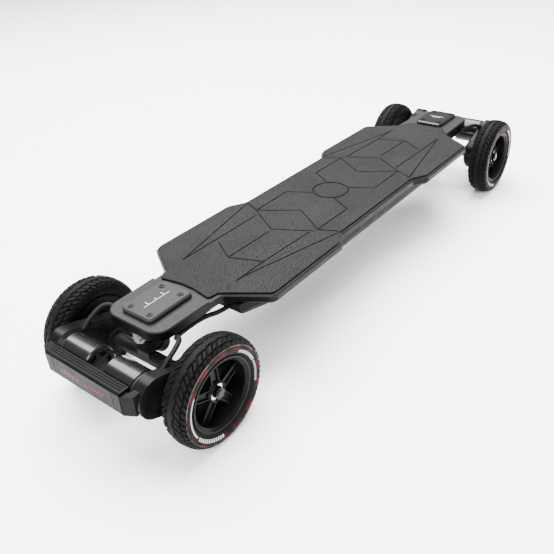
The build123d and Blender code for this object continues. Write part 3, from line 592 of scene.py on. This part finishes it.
def tyre_mesh():
    """Air tyre with cut tread blocks. Its axis is Y and its outer wall faces +Y."""
    shares = np.concatenate([
        np.linspace(0.0, 0.22, 9)[:-1], np.linspace(0.22, 0.78, 75), np.linspace(0.78, 1.0, 9)[1:],
    ])
    outline = np.array([wall_point(s) for s in shares])
    turns = np.arange(TREAD_STEPS) * TREAD_PITCHES / TREAD_STEPS
    across = (shares - 0.5) / 0.28
    turn_grid, across_grid = np.meshgrid(turns, across, indexing="ij")
    cut = groove_amount(turn_grid, across_grid)
    tangent = np.gradient(outline, axis=0)
    normal = np.stack([-tangent[:, 1], tangent[:, 0]], axis=1)
    normal /= np.linalg.norm(normal, axis=1)[:, None]
    if normal[len(shares) // 2, 0] < 0:
        normal = -normal
    fade = np.clip((1.02 - np.abs(across)) / 0.12, 0.0, 1.0)
    depth = cut * TREAD_DEPTH * fade
    radius = outline[:, 0] - depth * normal[:, 0]
    offset = outline[:, 1] - depth * normal[:, 1]
    bead = [(56.0, -16.2), (56.0, -11.5), (63.0, -13.5), (71.0, -19.0), (78.5, -15.5), (81.5, 0.0),
            (78.5, 15.5), (71.0, 19.0), (63.0, 13.5), (56.0, 11.5), (56.0, 16.2)]
    bead_radius = np.tile([r * MM for r, _ in bead], (TREAD_STEPS, 1))
    bead_offset = np.tile([y * MM for _, y in bead], (TREAD_STEPS, 1))
    radius = np.concatenate([radius, bead_radius], axis=1)
    offset = np.concatenate([offset, bead_offset], axis=1)
    angles = (np.arange(TREAD_STEPS) * 2 * np.pi / TREAD_STEPS)[:, None]
    points = np.stack([radius * np.cos(angles), offset, radius * np.sin(angles)], axis=2).reshape(-1, 3)
    columns = radius.shape[1]
    row = np.arange(TREAD_STEPS)[:, None] * columns
    ahead = (np.arange(TREAD_STEPS) + 1)[:, None] % TREAD_STEPS * columns
    column = np.arange(columns)[None, :]
    following = (column + 1) % columns
    faces = np.stack([row + column, row + following, ahead + following, ahead + column], axis=2)
    faces = faces.reshape(-1, 4)
    mesh = bpy.data.meshes.new("tyre")
    mesh.from_pydata(points.tolist(), [], faces.tolist())
    # Cut depth kept on the mesh so the rubber can paint shade into the grooves.
    groove_painted_shade = mesh.attributes.new("groove_painted_shade", "FLOAT", "POINT")
    values = np.concatenate([cut * fade, np.zeros((TREAD_STEPS, len(bead)))], axis=1).reshape(-1)
    groove_painted_shade.data.foreach_set("value", values.astype(np.float32))
    tidy_normals(mesh)
    return mesh


def wheel_place(end, sign):
    """Where a wheel's own frame stands: its outer side faces away from the board."""
    turn = Matrix.Identity(4) if sign > 0 else Matrix.Rotation(math.pi, 4, "Z")
    return Matrix.Translation(axle_centre[end] + Vector((0, sign * wheel_y, 0))) @ turn


# ---- rims ------------------------------------------------------------------
RIM_STEPS = 160
SPOKES = 5


def ring_profile():
    """Rim barrel with rolled lips, seen as radius and offset from the wheel's middle, in millimetres."""
    return [
        (60.5, -19.5), (60.5, -16.5), (56.0, -16.5), (56.0, 16.5), (60.5, 16.5), (60.5, 18.2), (60.0, 19.3),
        (58.8, 19.5), (57.2, 19.4), (56.2, 18.6), (55.6, 17.4), (54.0, 16.4), (52.6, 15.2), (52.0, 12.0),
        (52.0, -15.0), (53.5, -18.0), (58.0, -19.5),
    ]


def spoke_mesh(work, angle):
    """One double spoke: a channel with two raised edges that narrows towards the rim."""
    inner, outer = 15.5 * MM, 53.2 * MM
    stations = 9
    rows = []
    for k in range(stations):
        t = k / (stations - 1)
        r = inner + (outer - inner) * t
        half = (8.6 - 1.9 * t + 1.6 * t**4) * MM
        crown = (7.3 - 2.2 * t) * MM
        ridge, floor, back = crown, crown - 3.2 * MM, crown - 7.5 * MM
        lip = 2.3 * MM
        section = [
            (-half, back), (-half, ridge - 0.8 * MM), (-half + 0.7 * MM, ridge), (-half + lip, ridge),
            (-half + lip + 0.6 * MM, floor), (half - lip - 0.6 * MM, floor), (half - lip, ridge),
            (half - 0.7 * MM, ridge), (half, ridge - 0.8 * MM), (half, back),
        ]
        direction = Vector((math.cos(angle), 0, math.sin(angle)))
        across = Vector((-math.sin(angle), 0, math.cos(angle)))
        rows.append([work.verts.new(direction * r + across * s + Vector((0, h, 0))) for s, h in section])
    for first, second in zip(rows, rows[1:]):
        for j in range(len(first)):
            following = (j + 1) % len(first)
            work.faces.new((first[j], first[following], second[following], second[j]))
    work.faces.new(rows[0][::-1])
    work.faces.new(rows[-1])


def hub_profile():
    """Hub with its closing web, a recessed seat for the axle nut and two bearing seats, in millimetres."""
    return [
        (20.0, -37.5), (20.0, -16.5), (52.5, -16.5), (52.5, -14.0), (20.5, -14.0), (19.0, -12.5), (19.0, 4.5),
        (17.6, 7.2), (15.5, 9.3), (14.6, 9.5), (14.0, 9.2), (14.0, -1.5), (10.0, -1.5), (10.0, -23.5),
        (14.0, -23.5), (14.0, -37.5),
    ]


def rim_mesh():
    """Whole rim: barrel, hub with its web, and five double spokes."""
    work = bmesh.new()
    for profile in (ring_profile(), hub_profile()):
        part = revolved_mesh("turned", [(r * MM, y * MM) for r, y in profile], RIM_STEPS)
        work.from_mesh(part)
    for k in range(SPOKES):
        spoke_mesh(work, math.radians(90 + 72 * k))
    bmesh.ops.recalc_face_normals(work, faces=work.faces)
    mesh = bpy.data.meshes.new("rim")
    work.to_mesh(mesh)
    work.free()
    return mesh


# ---- sidewall marks --------------------------------------------------------
def sidewall_point(radius):
    """Offset of the tyre's outer wall at a radius."""
    best = min((abs(wall_point(s)[0] - radius), s) for s in [0.002 * k for k in range(140)])
    return wall_point(best[1])[1]


def marks_mesh(arcs):
    """Thin raised bars on the outer wall. Each arc is (start degree, end degree, bar, gap, inner, outer)."""
    work = bmesh.new()
    for start, stop, bar, gap, inner, outer in arcs:
        place = start
        while place + bar <= stop + 0.01:
            radii = [inner + (outer - inner) * k / 3 for k in range(4)]
            grid = []
            for step in range(3):
                a = math.radians(place + bar * step / 2)
                for layer in (0.35, -0.2):
                    for r in radii:
                        y = sidewall_point(r * MM) + layer * MM
                        grid.append(work.verts.new((r * MM * math.cos(a), y, r * MM * math.sin(a))))
            cells = []
            for step in range(2):
                for k in range(3):
                    a, b = step * 8 + k, (step + 1) * 8 + k
                    cells.append((a, a + 1, b + 1, b))
                    cells.append((a + 4, b + 4, b + 5, a + 5))
                cells.append((step * 8, (step + 1) * 8, (step + 1) * 8 + 4, step * 8 + 4))
                cells.append((step * 8 + 3, step * 8 + 7, (step + 1) * 8 + 7, (step + 1) * 8 + 3))
            for k in range(3):
                cells.append((k, k + 4, k + 5, k + 1))
                cells.append((16 + k, 16 + k + 1, 16 + k + 5, 16 + k + 4))
            for cell in cells:
                work.faces.new([grid[i] for i in cell])
            place += bar + gap
    bmesh.ops.recalc_face_normals(work, faces=work.faces)
    mesh = bpy.data.meshes.new("marks")
    work.to_mesh(mesh)
    work.free()
    return mesh


def add_wheels():
    """Detailed tyre, rim and sidewall marks on each wheel."""
    tyre, rim = tyre_mesh(), rim_mesh()
    white = marks_mesh([
        (-26, 35, 2.0, 0.0, 67.2, 70.0), (281, 331, 2.2, 2.0, 66.5, 71.5),
        (124, 160, 1.8, 1.6, 66.0, 70.5), (163, 196, 1.0, 1.6, 66.5, 69.5),
    ])
    for end, side, _, sign in CORNERS:
        corner = end + "_" + side
        body = corner + "_wheel"
        for label, mesh, paint, smooth in (
            ("tyre", tyre, "tyre", 50), ("rim", rim, "rim", 35), ("wall_marks", white, "white", 30),
        ):
            piece = new_piece(corner + "_" + label + "_look", mesh, paint, smooth)
            piece.matrix_world = wheel_place(end, sign)
            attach(piece, body)
            if label != "wall_marks":
                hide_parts(corner + "_" + label)


add_wheels()


# ---- motor cables ----------------------------------------------------------
CABLE_RADIUS = 4.0 * MM
CABLE_ROUTE = [
    (387.6, 62, 134), (404, 62, 134), (436, 52, 138.5),
    (500, 53, 138.5), (508.0, 89.0, 163.0), (549.0, 86.5, 138.4),
]


def route_points(points, per_run=14):
    """Smooth path through a route's corners, cut inside them as a sleeve bends."""
    curve = bpy.data.curves.new("route", "CURVE")
    curve.dimensions = "3D"
    spline = curve.splines.new("NURBS")
    spline.points.add(len(points) - 1)
    for point, place in zip(spline.points, points):
        point.co = (*place, 1)
    spline.order_u = 3
    spline.use_endpoint_u = True
    spline.resolution_u = per_run
    holder = bpy.data.objects.new("route", curve)
    bpy.context.scene.collection.objects.link(holder)
    line = bpy.data.meshes.new_from_object(holder)
    path = [v.co.copy() for v in line.vertices]
    bpy.data.objects.remove(holder)
    return path


def tube_mesh(name, path, radius, around=16):
    """Round tube along a path, closed at both ends."""
    work = bmesh.new()
    rings = []
    side = Vector((0, 0, 1))
    for k, place in enumerate(path):
        ahead = path[min(k + 1, len(path) - 1)] - path[max(k - 1, 0)]
        ahead.normalize()
        side = (side - side.dot(ahead) * ahead).normalized()
        other = ahead.cross(side)
        ring = []
        for j in range(around):
            a = 2 * math.pi * j / around
            ring.append(work.verts.new(place + radius * (math.cos(a) * side + math.sin(a) * other)))
        rings.append(ring)
    for first, second in zip(rings, rings[1:]):
        for j in range(around):
            following = (j + 1) % around
            work.faces.new((first[j], first[following], second[following], second[j]))
    work.faces.new(rings[0][::-1])
    work.faces.new(rings[-1])
    bmesh.ops.recalc_face_normals(work, faces=work.faces)
    mesh = bpy.data.meshes.new(name)
    work.to_mesh(mesh)
    work.free()
    return mesh


def add_cables():
    """Motor cable sleeves routed from the deck past the link down to the hanger, each made as two tubes split
    at the route's corner.
    """
    for end, side, ex, sign in CORNERS:
        route = [Vector((ex * x * MM + FRAME_SHIFT, sign * y * MM, z * MM)) for x, y, z in CABLE_ROUTE]
        path = route_points(route)
        corner = route[4]
        split = min(range(len(path)), key=lambda k: (path[k] - corner).length)
        name = end + "_" + side + "_cable"
        first = new_piece(name + "_root", tube_mesh(name, path[: split + 1], CABLE_RADIUS), "braid", 60)
        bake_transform(first)
        second = new_piece(name + "_tip", tube_mesh(name, path[split:], CABLE_RADIUS), "braid", 60)
        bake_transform(second)
        for piece in (first, second):
            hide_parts(end + "_motor_cables")


add_cables()


# ---- printed marks ---------------------------------------------------------
def bars_piece(name, paint, body, bars):
    """Thin printed bars. Each is (centre, along, across, outward, length, width)."""
    work = bmesh.new()
    for centre, along, across, outward, length, width in bars:
        centre, along, across, outward = Vector(centre), Vector(along), Vector(across), Vector(outward)
        layers = []
        for lift in (-0.15 * MM, 0.2 * MM):
            layers.append([
                work.verts.new(centre + along * a * length / 2 + across * b * width / 2 + outward * lift)
                for a, b in ((-1, -1), (1, -1), (1, 1), (-1, 1))
            ])
        low, high = layers
        work.faces.new(low[::-1])
        work.faces.new(high)
        for k in range(4):
            following = (k + 1) % 4
            work.faces.new((low[k], low[following], high[following], high[k]))
    bmesh.ops.recalc_face_normals(work, faces=work.faces)
    mesh = bpy.data.meshes.new(name)
    work.to_mesh(mesh)
    work.free()
    piece = new_piece(name, mesh, paint)
    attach(piece, body)


def add_marks():
    """Generic bars where the object carries printed marks: on both covers and on the guard's face."""
    up = (0, 0, 1)
    rear, front = middle("rear_cover"), middle("front_cover")
    rear_top, front_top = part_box("rear_cover")[1].z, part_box("front_cover")[1].z
    rear_bars = [((rear.x, 0, rear_top), (1, 0, 0), (0, 1, 0), up, 52 * MM, 1.1 * MM)]
    for k, reach in enumerate((9, 6, 9)):
        place = (rear.x + (16 * k - 16) * MM, reach / 2 * MM, rear_top)
        rear_bars.append((place, (0, 1, 0), (1, 0, 0), up, reach * MM, 1.3 * MM))
    bars_piece("rear_cover_mark", "white", "deck", rear_bars)
    front_bars = [
        ((front.x + 4 * MM, 0, front_top), (0, 1, 0), (1, 0, 0), up, 34 * MM, 1.6 * MM),
        ((front.x - 2 * MM, 0, front_top), (0, 1, 0), (1, 0, 0), up, 20 * MM, 1.6 * MM),
    ]
    bars_piece("front_cover_mark", "white", "deck", front_bars)
    guard_low, guard_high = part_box("rear_bumper")
    height = (guard_low.z + guard_high.z) / 2
    slant = math.radians(35)
    along = (0, -math.sin(slant), math.cos(slant))
    across = (0, math.cos(slant), math.sin(slant))
    guard_bars = []
    for start in (46, -8):
        for k in range(8):
            place = (guard_low.x, (start - 5.2 * k) * MM, height)
            guard_bars.append((place, along, across, (-1, 0, 0), (10 + 3 * (k % 2)) * MM, 2.0 * MM))
    bars_piece("rear_guard_mark", "red", "rear_hanger", guard_bars)


add_marks()
